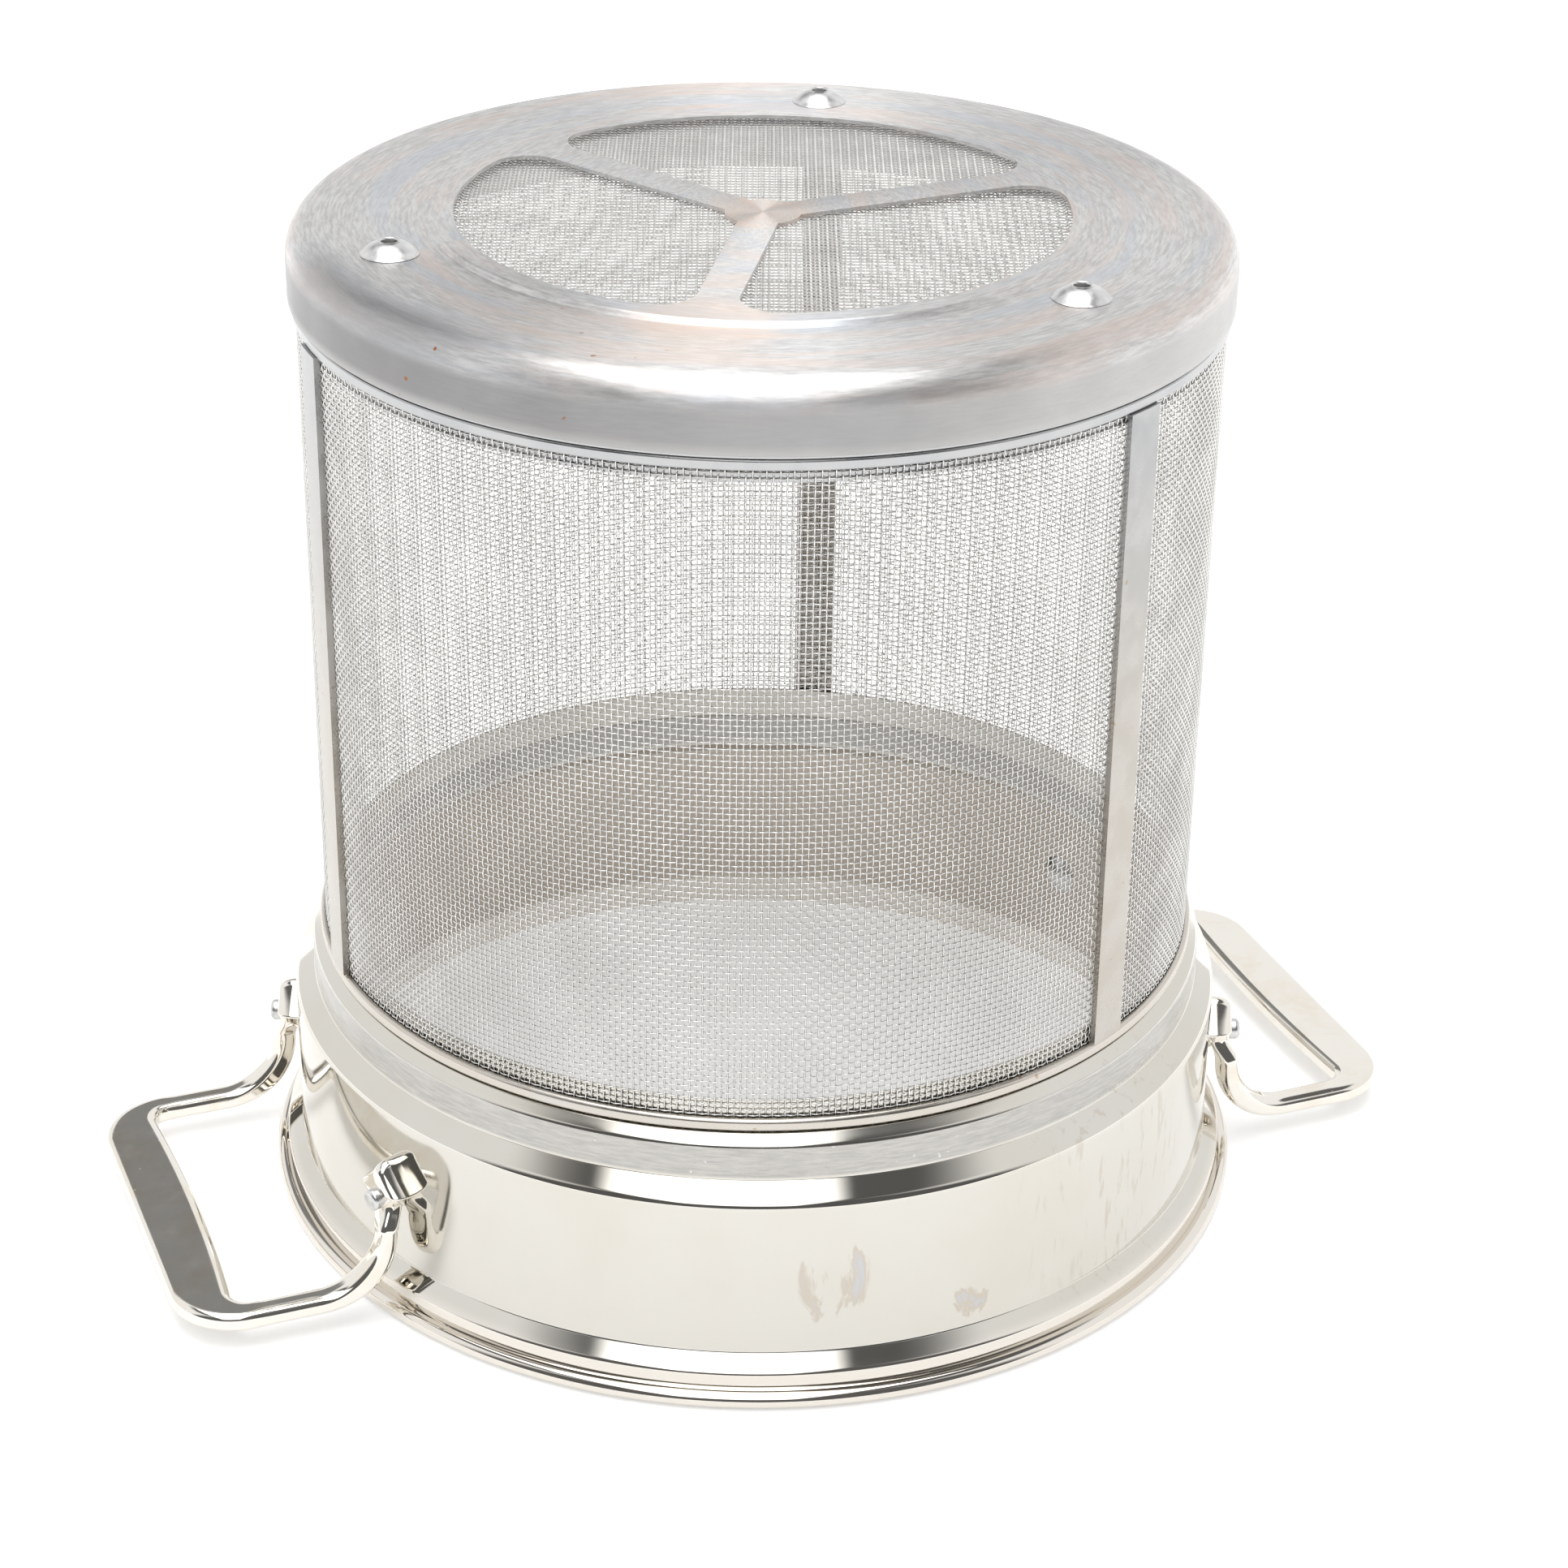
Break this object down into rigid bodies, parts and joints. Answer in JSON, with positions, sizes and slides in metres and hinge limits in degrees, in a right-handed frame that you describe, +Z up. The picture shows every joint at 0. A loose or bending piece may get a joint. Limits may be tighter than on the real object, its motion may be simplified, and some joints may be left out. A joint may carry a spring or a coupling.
{
  "type": "strainer basket",
  "caption": "Stock-pot strainer basket of woven wire on a polished steel collar with two loop handles, standing on its rim.",
  "frame": {"origin": "on the basket's axis, in the plane of the rolled rim that it stands on", "axes": "+Z up along the basket's axis towards the base cap; X through the two handles"},
  "size_m": [0.334, 0.254, 0.2591],
  "materials": {
    "polished_steel": "mirror polished",
    "brushed_steel": "satin with circular brush lines",
    "satin_steel": "satin",
    "woven_wire": "bright drawn wire",
    "cast_steel": "polished casting",
    "rivet_steel": "bright",
    "dark_steel": "dull"
  },
  "bodies": {
    "root": {"collar": "polished_steel", "lower_hoop": "satin_steel", "side_mesh": "woven_wire", "upper_hoop": "satin_steel", "clamp_ring": "satin_steel", "base_mesh": "woven_wire", "base_cap": "brushed_steel", "stay_strip_1": "satin_steel", "stay_strip_2": "satin_steel", "stay_strip_3": "satin_steel", "cap_rivet_1": "rivet_steel", "cap_rivet_2": "rivet_steel", "cap_rivet_3": "rivet_steel", "rivet_pin_1": "dark_steel", "rivet_pin_2": "dark_steel", "rivet_pin_3": "dark_steel", "handle_right": "cast_steel", "handle_left": "cast_steel", "handle_rivet_1": "rivet_steel", "handle_rivet_2": "rivet_steel", "handle_rivet_3": "rivet_steel", "handle_rivet_4": "rivet_steel"}
  },
  "joints": []
}
